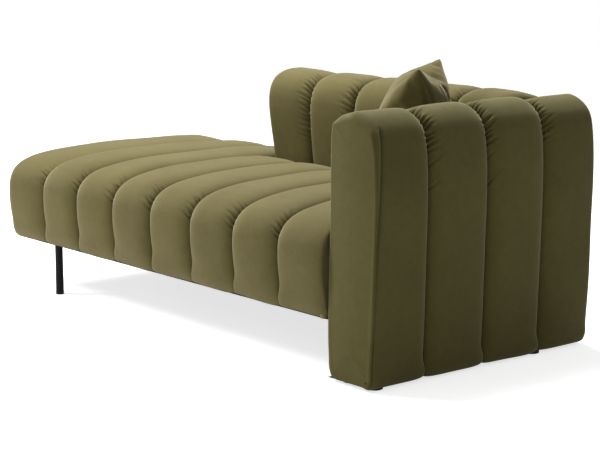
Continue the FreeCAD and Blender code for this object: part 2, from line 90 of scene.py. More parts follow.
def seams(stem, count, axis):
    """Where the seams between a row of channels lie, with both outer edges."""
    lows = [low(f"{stem}_{i}")[axis] for i in range(1, count + 1)]
    highs = [high(f"{stem}_{i}")[axis] for i in range(1, count + 1)]
    middle = [(a + b) / 2 for a, b in zip(highs[:-1], lows[1:])]
    return [lows[0]] + middle + [highs[-1]]


# ---------------------------------------------------------------- curves
def curve(points):
    """A smooth curve through a few points, sampled about every millimetre."""
    points = np.array(points, float)
    reach = np.append(0, np.cumsum(np.linalg.norm(np.diff(points, axis=0), axis=1)))
    slope = np.gradient(points, reach, axis=0)
    place = np.linspace(0, reach[-1] - 1e-9, int(reach[-1] / 0.001))
    leg = np.searchsorted(reach, place, side="right") - 1
    span = (reach[leg + 1] - reach[leg])[:, None]
    u = (place - reach[leg])[:, None] / span
    from_start = (2 * u**3 - 3 * u**2 + 1) * points[leg] + (u**3 - 2 * u**2 + u) * slope[leg] * span
    from_end = (3 * u**2 - 2 * u**3) * points[leg + 1] + (u**3 - u**2) * slope[leg + 1] * span
    return from_start + from_end


def lengths(line):
    return np.append(0, np.cumsum(np.linalg.norm(np.diff(line, axis=0), axis=1)))


def nearest(line, point):
    """How far along the line the spot nearest to a point is."""
    return lengths(line)[np.argmin(np.linalg.norm(line - np.array(point), axis=1))]


def stations(line, fine_stretches):
    """Places along the line: close together in the fine stretches, wide elsewhere."""
    total = lengths(line)[-1]
    places = [0.0]
    while places[-1] < total:
        here = places[-1]
        near = any(a - 0.004 <= here <= b for a, b in fine_stretches)
        ahead = min([a for a, b in fine_stretches if a > here] + [total])
        places.append(here + (FINE if near else min(COARSE, max(FINE, ahead - here))))
    places[-1] = total
    return np.array(places)


def at(line, places):
    """Points and outward normals of a line at the given places along it."""
    reach = lengths(line)
    ahead = np.gradient(line, axis=0)
    ahead /= np.linalg.norm(ahead, axis=1)[:, None]
    outward = np.column_stack([-ahead[:, 1], ahead[:, 0]])
    point = np.column_stack([np.interp(places, reach, line[:, k]) for k in (0, 1)])
    normal = np.column_stack([np.interp(places, reach, outward[:, k]) for k in (0, 1)])
    normal /= np.linalg.norm(normal, axis=1)[:, None]
    return point, normal


def ease(value, start, end):
    """0 before start, 1 after end, smooth between."""
    t = np.clip((value - start) / (end - start), 0, 1)
    return t * t * (3 - 2 * t)


def sagged(height, amount, start, full):
    """Heights lowered by an amount that grows from none at start to its whole at full."""
    return height - amount * ease(height, start, full)


# ---------------------------------------------------------------- meshes
def make_mesh(name, grid):
    """A closed mesh from a tube of points: each row of the grid is one ring."""
    rows, columns = grid.shape[:2]
    index = np.arange(rows * columns).reshape(rows, columns)
    faces = [tuple(index[0][::-1]), tuple(index[-1])]
    for a, b in zip(index[:-1], index[1:]):
        for j in range(columns):
            k = (j + 1) % columns
            faces.append((a[j], a[k], b[k], b[j]))
    mesh = bpy.data.meshes.new(name)
    mesh.from_pydata(grid.reshape(-1, 3).tolist(), [], [tuple(int(v) for v in f) for f in faces])
    return tidy(mesh)


def tidy(mesh):
    """Welds doubled points, turns every face outward and shades smoothly."""
    edit = bmesh.new()
    edit.from_mesh(mesh)
    bmesh.ops.remove_doubles(edit, verts=edit.verts, dist=0.00002)
    bmesh.ops.dissolve_degenerate(edit, dist=0.00002, edges=edit.edges)
    bmesh.ops.recalc_face_normals(edit, faces=edit.faces)
    edit.to_mesh(mesh)
    edit.free()
    mesh.shade_smooth()
    return mesh


def piece(name, mesh, finish, nodes, body="daybed"):
    """Puts a padded piece in the scene, on its body, in place of its CAD nodes."""
    made = bpy.data.objects.new(name, mesh)
    bpy.context.scene.collection.objects.link(made)
    mesh.materials.clear()
    mesh.materials.append(finish)
    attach(made, body)
    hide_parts(*nodes)
    return made


# ---------------------------------------------------------------- channels
def gathers(rng, start, end, spacing, length, depth, slant):
    """The creases of one gathered stretch: place, length, depth and slant of each."""
    count = max(1, int(abs(end - start) / spacing))
    places = np.linspace(start, end, count) + rng.uniform(-0.25, 0.25, count) * spacing
    fade = 0.55 + 0.45 * np.sin(np.pi * np.linspace(0.12, 0.88, count))
    return np.column_stack([
        places,
        length * rng.uniform(0.65, 1.2, count),
        depth * rng.uniform(0.6, 1.1, count) * fade,
        slant * rng.uniform(0.7, 1.2, count),
    ])


def creased(grid, outward, along, from_seam, creases):
    """Presses the creases into a channel beside one of its seams."""
    down = np.zeros(from_seam.shape)
    for place, length, depth, slant in creases:
        off = along[:, None] - place - slant * from_seam
        run = 1 - ease(from_seam, 0.45 * length, length)
        down += depth * np.exp(-(off / CREASE) ** 2) * run
        down -= 0.40 * depth * np.exp(-((np.abs(off) - 2 * CREASE) / CREASE) ** 2) * run
    return grid - outward * down[:, :, None]


def grid_normals(grid):
    down = np.gradient(grid, axis=0)
    across = np.gradient(grid, axis=1)
    normal = np.cross(across, down)
    size = np.linalg.norm(normal, axis=2)[:, :, None]
    return normal / np.maximum(size, 1e-12)


def half_section(fullness):
    """From seam to crest: how far across (1 at the seam) and how high (1 at the crest)."""
    turn = np.linspace(0, math.pi / 2, HALF_LINES + 1)
    return np.cos(turn) ** (2 / fullness), np.sin(turn) ** (2 / RISE)


def swell(rng, along, across):
    """Slight unevenness of the filling, within about a millimetre and a half."""
    wave = np.zeros((len(along), len(across)))
    for _ in range(5):
        a, b = rng.uniform(5, 24), rng.uniform(8, 30)
        wave += np.sin(a * along[:, None] + b * across[None, :] + rng.uniform(0, 6.28))
    return wave * 0.0005


def place_3d(point, depth, normal, width, axis):
    """Points from a profile, a depth under it and a place across the channel."""
    flat = point[:, None, :] - normal[:, None, :] * depth[:, :, None]
    if axis == "x":
        return np.stack([width, flat[:, :, 0], flat[:, :, 1]], axis=2)
    return np.stack([flat[:, :, 0], width, flat[:, :, 1]], axis=2)


def channel(line, left, right, drop_left, drop_right, axis, seed, skin=SKIN,
            creases=(), fine=(), crest=0.5, fullness=SOFT):
    """The grid of one stuffed channel that follows a profile line.

    left and right are its seams and drop_left and drop_right how far they lie below
    the crest, each one number or a function of the profile's points. crest is how far
    across the highest line runs, from 0 at the left seam to 1 at the right.
    """
    rng = np.random.default_rng(seed)
    along = stations(line, fine)
    point, normal = at(line, along)

    def at_each(given):
        return given(point) if callable(given) else np.full(len(along), float(given))

    left, right, skin = at_each(left), at_each(right), at_each(skin)
    drop_left, drop_right = at_each(drop_left), at_each(drop_right)
    across, rise = half_section(fullness)
    middle = left + (right - left) * crest
    side = np.concatenate([-across, across[-2::-1]])
    half = np.where(side[None, :] < 0, (middle - left)[:, None], (right - middle)[:, None])
    height = np.concatenate([rise, rise[-2::-1]])
    drop = np.column_stack([np.repeat(drop_left[:, None], HALF_LINES + 1, axis=1),
                            np.repeat(drop_right[:, None], HALF_LINES, axis=1)])
    width = middle[:, None] + half * side[None, :]
    depth = drop * (1 - height[None, :])
    depth -= swell(rng, along, side * half.mean()) * height[None, :] ** 2
    top = place_3d(point, depth, normal, width, axis)
    outward = grid_normals(top)
    upward = top[:, HALF_LINES] - place_3d(point, np.full((len(along), 1), 0.01), normal,
                                          middle[:, None], axis)[:, 0]
    if np.mean(np.sum(outward[:, HALF_LINES] * upward, axis=1)) < 0:
        outward = -outward
    step = np.linalg.norm(np.diff(top, axis=1), axis=2)
    from_left = np.column_stack([np.zeros(len(along)), np.cumsum(step, axis=1)])
    from_right = from_left[:, -1:] - from_left
    for at_left, stretch in creases:
        marks = gathers(rng, *stretch)
        top = creased(top, outward, along, from_left if at_left else from_right, marks)
    under_depth = np.column_stack([drop_right + skin, np.maximum(drop_left, drop_right) + skin,
                                   drop_left + skin])
    under_width = np.column_stack([right - 0.0005, middle, left + 0.0005])
    under = place_3d(point, under_depth, normal, under_width, axis)
    return np.concatenate([top, under], axis=1)


def panel(name, outline, spine, out, crown, edge, thickness, finish, nodes):
    """A padded end panel: rings from its outline in to its spine, and a flat back."""
    outline, spine, out = np.array(outline), np.array(spine), np.array(out, float)
    rings = [outline - out * (thickness + edge)]
    # how far in towards the spine each ring lies, and its height above the flat, in edges
    for f, lift in [(0.0, -1.0), (0.004, -0.62), (0.02, -0.30), (0.045, -0.12), (0.09, -0.03),
                    (0.16, 0.0), (0.3, 0.0), (0.5, 0.0), (0.75, 0.0), (0.97, 0.0)]:
        bulge = crown * math.sin(math.pi / 2 * min(1, f * 1.4))
        rings.append(outline + (spine - outline) * f + out * (bulge + edge * lift))
    return piece(name, make_mesh(name, np.stack(rings)), finish, nodes)


def upright(pairs, axis, level):
    """Points from (across, height) pairs: level is the third coordinate, along the axis."""
    fixed = np.broadcast_to(level, len(pairs))
    if axis == "x":
        return np.column_stack([fixed, pairs])
    return np.column_stack([pairs[:, 0], fixed, pairs[:, 1]])


# ---------------------------------------------------------------- seat
def seat_line(back_against):
    """The seat channels' profile, from the front tuck over the top to the rear."""
    front, bottom = low("seat_channel_1").y, low("seat_front_border").z
    top = high("seat_channel_1").z + 0.002
    rear = high("seat_channel_1").y
    face = low("backrest_channel_1").y
    points = [(front + 0.040 + TUCK, bottom - 0.006), (front + 0.046, bottom - 0.006),
              (front + 0.026, bottom + 0.002), (front + 0.015, bottom + 0.022),
              (front + 0.008, bottom + 0.060), (front + 0.002, top - 0.180),
              (front, top - 0.140), (front + 0.006, top - 0.088),
              (front + 0.021, top - 0.060), (front + 0.046, top - 0.038),
              (front + 0.078, top - 0.024), (front + 0.128, top - 0.013),
              (front + 0.193, top - 0.005), (front + 0.287, top)]
    if back_against:
        points += [(face - 0.150, top + 0.001), (face - 0.080, top - 0.004),
                   (face - 0.040, top - 0.014), (face - 0.012, top - 0.032),
                   (face + 0.004, top - 0.062), (face + 0.010, top - 0.100)]
    else:
        points += [(rear - 0.320, top + 0.001), (rear - 0.160, top - 0.003),
                   (rear - 0.080, top - 0.011), (rear - 0.036, top - 0.026),
                   (rear - 0.012, top - 0.050), (rear - 0.002, top - 0.085),
                   (rear - 0.001, top - 0.140), (rear - 0.008, bottom + 0.040),
                   (rear - 0.014, bottom + 0.010), (rear - 0.026, bottom - 0.003),
                   (rear - 0.026 - TUCK, bottom - 0.003)]
    return curve(points)


def seat_drop(point):
    """Depth of the seat's seams, shallow at the bottom edge."""
    bottom = low("seat_front_border").z
    return VALLEY * (0.14 + 0.86 * ease(point[:, 1], bottom + 0.002, bottom + 0.075))


def foot_drop(point):
    """Depth of the rounded edge at the seat's foot end."""
    bottom = low("seat_front_border").z
    return EDGE_ROUND * (0.40 + 0.60 * ease(point[:, 1], bottom - 0.002, bottom + 0.060))


def seat_pieces(finish):
    edges = seams("seat_channel", SEAT_COUNT, 0)
    front, rear = low("seat_channel_1").y, high("seat_channel_1").y
    top = high("seat_channel_1").z
    for i in range(SEAT_COUNT):
        first, last, against = i == 0, i == SEAT_COUNT - 1, i >= OPEN_COUNT
        line = seat_line(against)
        total = lengths(line)[-1]
        bend = nearest(line, (front + 0.030, top - 0.048))
        fine = [(0.0, 0.07), (bend - 0.065, bend + 0.055)]
        if not against:
            rear_bend = nearest(line, (rear - 0.02, top - 0.04))
            fine += [(rear_bend - 0.05, rear_bend + 0.05), (total - 0.07, total)]
        creases = [(False, (bend - 0.055, bend + 0.035, 0.013, 0.046, 0.0050, 0.5)),
                   (True, (bend - 0.035, bend + 0.025, 0.016, 0.028, 0.0022, -0.4))]
        if first:
            creases = creases[:1]
        if last:
            creases = creases[1:]
        grid = channel(line, edges[i], edges[i + 1], foot_drop if first else seat_drop,
                       HEAD_ROUND if last else seat_drop, "x", seed=10 + i, creases=creases,
                       fine=fine, crest=0.22 if first else 0.5)
        if first:
            grid[:, :, 2] = sagged(grid[:, :, 2], *FOOT_SAG)
        name = f"seat_roll_{i + 1}"
        nodes = [f"seat_channel_{i + 1}", "seat_front_border"]
        nodes += [] if against else ["seat_rear_border"]
        piece(name, make_mesh(name, grid), finish, nodes)


def ring_outline(line, inset, foot):
    """A profile's line moved inward and closed with straight runs down to a foot height."""
    point, normal = at(line, np.arange(0, lengths(line)[-1], 0.008))
    edge = point - normal * inset
    edge = edge[edge[:, 1] > foot + 0.030]
    rear_foot, front_foot = (edge[-1, 0], foot), (edge[0, 0], foot)
    runs = [np.linspace(edge[-1], rear_foot, 6)[1:], np.linspace(rear_foot, front_foot, 26)[1:],
            np.linspace(front_foot, edge[0], 6)[1:-1]]
    return np.concatenate([edge] + runs)


def seat_end(name, x, out, back_against, inset, finish, nodes):
    """The panel that closes one end of the seat, inside its last channel's edge."""
    flat = ring_outline(seat_line(back_against), inset, low("seat_front_border").z)
    middle = (flat[:, 1].max() + flat[:, 1].min()) / 2
    reach = (flat[:, 1].max() - flat[:, 1].min()) / 2
    inner = np.clip(flat[:, 0], flat[:, 0].min() + reach, flat[:, 0].max() - reach)
    spine = np.column_stack([inner, np.full(len(flat), middle)])
    panel(name, upright(flat, "x", x), upright(spine, "x", x), (out, 0, 0), crown=0.004,
          edge=0.006, thickness=0.016, finish=finish, nodes=nodes)


def seat_ends(finish):
    foot, head = low("seat_channel_1").x + 0.004, high("seat_front_rail").x - 0.003
    seat_end("seat_foot_end", foot, -1, False, EDGE_ROUND, finish, ["seat_foot_border"])
    seat_end("seat_head_end", head, 1, True, HEAD_ROUND, finish, ["seat_front_border"])


# ---------------------------------------------------------------- backrest
def back_line():
    """The backrest channels' profile, from the seat up the front, over and down the rear."""
    front, top = low("backrest_channel_1").y, high("backrest_channel_1").z + 0.002
    rear = high("backrest_top_pad").y
    seat = high("seat_channel_1").z
    points = [(front + 0.012, seat - 0.090), (front + 0.008, seat - 0.030),
              (front + 0.001, seat + 0.030), (front - 0.005, top - 0.162),
              (front - 0.007, top - 0.105), (front - 0.003, top - 0.071),
              (front + 0.008, top - 0.042), (front + 0.027, top - 0.020),
              (front + 0.059, top - 0.005), (front + 0.097, top),
              (rear - 0.065, top - 0.003), (rear - 0.032, top - 0.014),
              (rear - 0.010, top - 0.034), (rear, top - 0.066),
              (rear + 0.001, top - 0.110), (rear + 0.001, top - 0.150)]
    return curve(points)


def back_drop(point):
    """Depth of the backrest's seams, shallow at the rear."""
    rear = high("backrest_top_pad").y
    return VALLEY * (1 - 0.86 * ease(point[:, 0], rear - 0.060, rear - 0.022))


def open_end(height, top):
    """Where the backrest's free end lies: it stands out further towards the top."""
    seat = high("seat_channel_1").z
    return low("backrest_channel_1").x - 0.010 - 0.020 * ease(height, seat - 0.02, top)


def back_pieces(finish):
    edges = seams("backrest_channel", BACK_COUNT, 0)
    line = back_line()
    front, top = low("backrest_channel_1").y, high("backrest_channel_1").z
    rear = high("backrest_top_pad").y
    bend = nearest(line, (front + 0.008, top - 0.042))
    rear_bend = nearest(line, (rear - 0.012, top - 0.034))
    fine = [(bend - 0.175, bend + 0.075), (rear_bend - 0.04, rear_bend + 0.04)]

    def free_edge(point):
        return open_end(point[:, 1], top)

    for i in range(BACK_COUNT):
        first = i == 0
        creases = [(False, (bend - 0.165, bend + 0.060, 0.0145, 0.068, 0.0062, 0.45)),
                   (True, (bend - 0.080, bend + 0.050, 0.018, 0.036, 0.0030, -0.4))]
        if first:
            creases = creases[:1]
        if i == BACK_COUNT - 1:
            creases = creases[1:]
        grid = channel(line, free_edge if first else edges[i], edges[i + 1],
                       EDGE_ROUND if first else back_drop, back_drop, "x", seed=40 + i,
                       creases=creases, fine=fine, crest=0.20 if first else 0.5, fullness=FIRM)
        name = f"back_roll_{i + 1}"
        nodes = [f"backrest_channel_{i + 1}", "backrest_top_pad"]
        piece(name, make_mesh(name, grid), finish, nodes)


def back_end(finish):
    """The panel on the backrest's free end."""
    seat = high("seat_channel_1").z
    flat = ring_outline(back_line(), EDGE_ROUND * 0.9, low("backrest_channel_1").z - 0.004)
    middle = (flat[:, 0].max() + flat[:, 0].min()) / 2
    top = flat[:, 1].max() - (flat[:, 0].max() - middle)
    spine = np.column_stack([np.full(len(flat), middle), np.clip(flat[:, 1], seat - 0.05, top)])

    def lift(pairs):
        return upright(pairs, "x", 0.004 + open_end(pairs[:, 1], top))

    panel("back_end_panel", lift(flat), lift(spine), (-1, 0, 0), crown=0.003, edge=0.005,
          thickness=0.012, finish=finish, nodes=["backrest_end_pad"])


def rectangle(low_a, high_a, low_b, high_b, radius, step=0.012):
    """An outline with round corners, counter-clockwise from its lower right."""
    centres = [(high_a - radius, low_b + radius, -90), (high_a - radius, high_b - radius, 0),
               (low_a + radius, high_b - radius, 90), (low_a + radius, low_b + radius, 180)]
    outline = []
    for a, b, start in centres:
        for turn in np.radians(np.linspace(start, start + 90, 7)):
            corner = np.array([a + radius * math.cos(turn), b + radius * math.sin(turn)])
            if outline:
                last = outline[-1]
                count = max(1, int(math.dist(last, corner) / step))
                outline += [last + (corner - last) * f for f in np.linspace(0, 1, count + 1)[1:-1]]
            outline.append(corner)
    return np.array(outline)


def rear_panel(finish):
    """The plain panel behind the backrest, from its top seam to the bottom edge."""
    x0, x1 = low("backrest_rear_cover").x, high("backrest_rear_cover").x
    z0, z1 = low("seat_rear_border").z, high("backrest_rear_cover").z - 0.060
    y = high("backrest_rear_cover").y - 0.002
    flat = rectangle(x0, x1, z0, z1, 0.008)
    middle = (z0 + z1) / 2
    reach = (z1 - z0) / 2
    spine = np.column_stack([np.clip(flat[:, 0], x0 + reach, x1 - reach), np.full(len(flat), middle)])
    panel("back_rear_panel", upright(flat, "y", y), upright(spine, "y", y), (0, 1, 0),
          crown=0.004, edge=0.004, thickness=0.010, finish=finish,
          nodes=["backrest_rear_cover", "seat_rear_border"])


# ---------------------------------------------------------------- arm
def arm_line(closed=False):
    """The arm's profile, from its inner bottom edge over the top and down the outside.

    Closed, it starts and ends in the middle of the bottom.
    """
    inner, outer = low("arm_front_panel").x, high("arm_front_panel").x
    bottom, top = low("arm_front_panel").z - 0.0015, high("arm_top_pad").z
    middle = (inner + outer) / 2
    start = [(middle, bottom), (inner + 0.050, bottom)] if closed else [(inner + 0.02 + TUCK, bottom)]
    end = [(outer - 0.050, bottom), (middle, bottom)] if closed else [(outer - 0.02 - TUCK, bottom)]
    points = start + [
        (inner + 0.034, bottom), (inner + 0.016, bottom + 0.006), (inner + 0.005, bottom + 0.022),
        (inner + 0.001, bottom + 0.060), (inner + 0.001, bottom + 0.250), (inner + 0.004, top - 0.330),
        (inner + 0.007, top - 0.232), (inner + 0.008, top - 0.110), (inner + 0.010, top - 0.062),
        (inner + 0.017, top - 0.034), (inner + 0.034, top - 0.019), (inner + 0.062, top - 0.010),
        (inner + 0.092, top - 0.004), (outer - 0.060, top - 0.011),
        (outer - 0.034, top - 0.027), (outer - 0.018, top - 0.045),
        (outer - 0.008, top - 0.067), (outer - 0.001, top - 0.100), (outer + 0.004, top - 0.150),
        (outer + 0.006, top - 0.220), (outer + 0.003, top - 0.360), (outer - 0.006, bottom + 0.060),
        (outer - 0.009, bottom + 0.014), (outer - 0.018, bottom)] + end
    return curve(points)


def arm_hidden(point):
    """1 on the arm's inner side below the seat, where nothing shows, and 0 elsewhere."""
    inner, seat = low("arm_front_panel").x, high("seat_channel_1").z
    inside = 1 - ease(point[:, 0], inner + 0.02, inner + 0.06)
    return inside * (1 - ease(point[:, 1], seat - 0.15, seat - 0.05))


def arm_drop(point):
    """Depth of the arm's seams: shallow at the bottom edges and beside the seat."""
    bottom, hidden = low("arm_front_panel").z, arm_hidden(point)
    from_bottom = 0.25 + 0.75 * ease(point[:, 1], bottom, bottom + 0.06)
    return VALLEY * from_bottom * (1 - hidden) + HIDDEN_SKIN * hidden


def arm_skin(point):
    """Thickness under the arm's seams, thinner beside the seat."""
    hidden = arm_hidden(point)
    return SKIN * (1 - hidden) + HIDDEN_SKIN * hidden


def arm_bends(line):
    """How far along the arm's profile its outer and inner top edges lie."""
    inner, outer = low("arm_front_panel").x, high("arm_front_panel").x
    top = high("arm_top_pad").z
    return nearest(line, (outer - 0.026, top - 0.035)), nearest(line, (inner + 0.024, top - 0.03))


def arm_pieces(finish):
    edges = seams("arm_channel", ARM_COUNT, 1)
    edges[0] = low("arm_front_panel").y
    edges[-1] = high("arm_rear_panel").y
    line = arm_line()
    outer_bend, inner_bend = arm_bends(line)
    total = lengths(line)[-1]
    for i in range(1, ARM_COUNT):
        fine = [(0.0, 0.08), (inner_bend - 0.06, inner_bend + 0.06),
                (outer_bend - 0.075, outer_bend + 0.22), (total - 0.07, total)]
        creases = [(True, (outer_bend - 0.060, outer_bend + 0.085, 0.0125, 0.052, 0.0064, -0.5)),
                   (False, (outer_bend - 0.050, outer_bend + 0.050, 0.015, 0.036, 0.0030, 0.4)),
                   (True, (outer_bend + 0.120, outer_bend + 0.190, 0.030, 0.075, 0.0045, -1.0)),
                   (True, (inner_bend - 0.050, inner_bend + 0.040, 0.014, 0.048, 0.0050, 0.4))]
        last = i == ARM_COUNT - 1
        if last:
            creases = [creases[0], creases[3]]
        grid = channel(line, edges[i], edges[i + 1], arm_drop, EDGE_ROUND if last else arm_drop,
                       "y", seed=70 + i, skin=arm_skin, creases=creases, fine=fine,
                       crest=0.82 if last else 0.5, fullness=FIRM)
        if last:
            grid[:, :, 2] = sagged(grid[:, :, 2], *ARM_SAG)
        name = f"arm_roll_{i + 1}"
        nodes = [f"arm_channel_{i + 1}", "arm_top_pad", "arm_inner_pad", "arm_lower_cover"]
        piece(name, make_mesh(name, grid), finish, nodes)
    arm_front(finish, edges[0], edges[1])


def arm_front(finish, front, seam):
    """The arm's first channel, which runs over its front edge into the flat front panel."""
    rng = np.random.default_rng(71)
    line = arm_line(closed=True)
    inner, outer = low("arm_front_panel").x, high("arm_front_panel").x
    bottom, top = low("arm_front_panel").z, high("arm_top_pad").z
    outer_bend, inner_bend = arm_bends(line)
    total = lengths(line)[-1]
    fine = [(0.05, 0.16), (inner_bend - 0.06, inner_bend + 0.06),
            (outer_bend - 0.075, outer_bend + 0.10), (total - 0.16, total - 0.05)]
    along = stations(line, fine)[:-1]
    point, normal = at(line, along)
    count = len(along)
    drop = arm_drop(point)
    # the outer front edge is sharp at the floor and softens as its seam moves back
    rise = np.clip(point[:, 1] / top, 0, 1)
    on_outside = ease(point[:, 0], outer - 0.030, outer - 0.012)
    on_outside *= ease(point[:, 1], 0.0, bottom + 0.02)
    below = 1 - ease(point[:, 1], bottom + 0.004, bottom + 0.030)
    on_top = ease(normal[:, 1], 0.35, 0.95)
    round_edge = 0.012 + 0.014 * on_top - 0.005 * on_outside * (1 - on_top)
    round_edge = round_edge * (1 - below) + 0.008 * below
    seam_back = 0.002 + 0.014 * rise + 0.022 * rise**5
    shown = on_outside * (1 - ease(point[:, 1], top - 0.052, top - 0.030))
    # the channel's rounded rear half, then forward past the seam and over the edge
    across, height = half_section(FIRM)
    middle = (front + seam) / 2 + 0.012
    widths = [np.full(count, middle + (seam - middle) * a) for a in across]
    depths = [drop * (1 - h) for h in height]
    face = front + 0.005
    quarter = round_edge * math.pi / 2
    q_middle = middle - face - round_edge + quarter
    around = round_edge * np.arccos(np.clip(1 - seam_back / round_edge, 0, 1))
    q_seam = np.where(seam_back < round_edge, around, quarter + seam_back - round_edge)
    q_face = np.minimum(0, q_seam - 0.020)
    beside = (0.012, 0.005, 0.0025, 0.0, -0.0025, -0.005, -0.012)
    spots = [q_middle + (q_seam + beside[0] - q_middle) * f for f in np.linspace(0, 1, 9)[1:-1]]
    spots += [q_seam + offset for offset in beside]
    spots += [spots[-1] + (q_face - spots[-1]) * f for f in np.linspace(0, 1, 9)[1:]]
    for q in spots:
        arc = np.clip(q / round_edge, 0, math.pi / 2)
        beyond = np.maximum(q - quarter, 0)
        groove = 0.0070 * shown * np.exp(-((q - q_seam) / 0.0028) ** 2)
        widths.append(face + round_edge * (1 - np.cos(arc)) + beyond + groove * np.cos(arc))
        depths.append(round_edge * (1 - np.sin(arc)) + np.maximum(-q, 0) + groove * np.sin(arc))
    grid = place_3d(point, np.column_stack(depths), normal, np.column_stack(widths), "y")
    # the flat front: lines that close in on the panel's upright middle
    half = (outer - inner) / 2
    spine = np.column_stack([np.full(count, (inner + outer) / 2), np.full(count, front),
                             np.clip(point[:, 1], bottom + half, top - half)])
    rim = grid[:, -1]
    flat = []
    for f in (0.08, 0.18, 0.3, 0.44, 0.6, 0.8, 0.97):
        line_points = rim + (spine - rim) * f
        line_points[:, 1] = rim[:, 1] + (spine[:, 1] - rim[:, 1]) * math.sin(math.pi / 2 * f)
        flat.append(line_points)
    grid = np.concatenate([grid, np.stack(flat, axis=1)], axis=1)
    outward = grid_normals(grid)
    if np.mean(outward[:, HALF_LINES, 2][point[:, 1] > top - 0.01]) < 0:
        outward = -outward
    step = np.linalg.norm(np.diff(grid, axis=1), axis=2)
    from_seam = np.column_stack([np.zeros(count), np.cumsum(step, axis=1)])
    creases = gathers(rng, outer_bend - 0.05, outer_bend + 0.05, 0.015, 0.036, 0.0030, 0.4)
    grid = creased(grid, outward, along, from_seam, creases)
    name = "arm_roll_1"
    piece(name, make_mesh(name, grid.transpose(1, 0, 2)), finish,
          ["arm_channel_1", "arm_front_panel", "arm_top_pad", "arm_inner_pad", "arm_lower_cover"])


def arm_back_panel(finish):
    flat = ring_outline(arm_line(), EDGE_ROUND * 0.9, low("arm_rear_panel").z - 0.001)
    flat[:, 1] = sagged(flat[:, 1], *ARM_SAG)
    y = high("arm_rear_panel").y - 0.004
    middle = (flat[:, 0].max() + flat[:, 0].min()) / 2
    half = flat[:, 0].max() - middle
    spine = np.column_stack([np.full(len(flat), middle),
                             np.clip(flat[:, 1], flat[:, 1].min() + half, flat[:, 1].max() - half)])
    panel("arm_back_panel", upright(flat, "y", y), upright(spine, "y", y), (0, 1, 0),
          crown=0.004, edge=0.005, thickness=0.012, finish=finish, nodes=["arm_rear_panel"])


# ---------------------------------------------------------------- pillow
def pillow_form(side, lines=44):
    """Two square sheets of fabric sewn at their edges, a little apart in the middle."""
    spots = np.linspace(-1, 1, lines + 1)
    points, faces, at_edge = [], [], {}
    for sign in (1, -1):
        index = np.zeros((lines + 1, lines + 1), int)
        for i, u in enumerate(spots):
            for j, v in enumerate(spots):
                rim = i in (0, lines) or j in (0, lines)
                if rim and sign == -1:
                    index[i, j] = at_edge[i, j]
                    continue
                puff = 0.022 * ((1 - u * u) * (1 - v * v)) ** 0.5
                points.append((u * side / 2, sign * puff, v * side / 2))
                index[i, j] = len(points) - 1
                if rim:
                    at_edge[i, j] = index[i, j]
        for i in range(lines):
            for j in range(lines):
                quad = (index[i, j], index[i + 1, j], index[i + 1, j + 1], index[i, j + 1])
                faces.append(quad if sign == 1 else quad[::-1])
    mesh = bpy.data.meshes.new("throw_cushion")
    mesh.from_pydata(points, [], [tuple(int(v) for v in f) for f in faces])
    return tidy(mesh)


def inflate(mesh, pressure, frames, cap):
    """Swells a closed mesh as cloth, moves no point further than the cap, and keeps the result."""
    made = bpy.data.objects.new("swelling", mesh)
    bpy.context.scene.collection.objects.link(made)
    start = np.array([v.co for v in mesh.vertices])
    cloth = made.modifiers.new("Cloth", "CLOTH")
    settings = cloth.settings
    settings.quality = 6
    settings.mass = 0.25
    settings.tension_stiffness = settings.compression_stiffness = 25
    settings.shear_stiffness = 12
    settings.bending_stiffness = 0.35
    settings.use_pressure = True
    settings.uniform_pressure_force = pressure
    settings.effector_weights.gravity = 0
    cloth.point_cache.frame_start, cloth.point_cache.frame_end = 1, frames
    scene = bpy.context.scene
    for number in range(1, frames + 1):
        scene.frame_set(number)
    graph = bpy.context.evaluated_depsgraph_get()
    swollen = bpy.data.meshes.new_from_object(made.evaluated_get(graph))
    bpy.data.objects.remove(made)
    scene.frame_set(1)
    end = np.array([v.co for v in swollen.vertices])
    move = end - start
    size = np.linalg.norm(move, axis=1)[:, None]
    move *= np.minimum(1, cap / np.maximum(size, 1e-9))
    swollen.vertices.foreach_set("co", (start + move).ravel())
    swollen.update()
    return swollen


def pillow(finish):
    box_low, box_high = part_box("throw_pillow")
    mesh = pillow_form(PILLOW_SIDE)
    mesh = inflate(mesh, pressure=5, frames=20, cap=0.060)
    co = np.array([v.co for v in mesh.vertices])
    # leaned back, turned round the upright axis and put beside the CAD pillow's middle
    lean = np.array([[1, 0, 0], [0, math.cos(PILLOW_LEAN), math.sin(PILLOW_LEAN)],
                     [0, -math.sin(PILLOW_LEAN), math.cos(PILLOW_LEAN)]])
    turn = np.array([[math.cos(PILLOW_TURN), math.sin(PILLOW_TURN), 0],
                     [-math.sin(PILLOW_TURN), math.cos(PILLOW_TURN), 0], [0, 0, 1]])
    co = co @ (turn @ lean).T
    middle = np.array((box_low + box_high) / 2)
    co += middle - (co.max(0) + co.min(0)) / 2 + PILLOW_SHIFT
    mesh.vertices.foreach_set("co", co.ravel())
    mesh.update()
    made = piece("throw_cushion", mesh, finish, ["throw_pillow"],
                 body="pillow")
    smooth = made.modifiers.new("Smooth", "SUBSURF")
    smooth.levels = smooth.render_levels = 1


# ---------------------------------------------------------------- materials
def node_material(name):
    made = bpy.data.materials.new(name)
    made.use_nodes = True
    tree = made.node_tree
    return made, tree, tree.nodes["Principled BSDF"]


def noise(tree, scale, detail, roughness=0.5):
    coords = tree.nodes.new("ShaderNodeTexCoord")
    made = tree.nodes.new("ShaderNodeTexNoise")
    made.inputs["Scale"].default_value = scale
    made.inputs["Detail"].default_value = detail
    made.inputs["Roughness"].default_value = roughness
    tree.links.new(coords.outputs["Object"], made.inputs["Vector"])
    return made.outputs["Fac"]


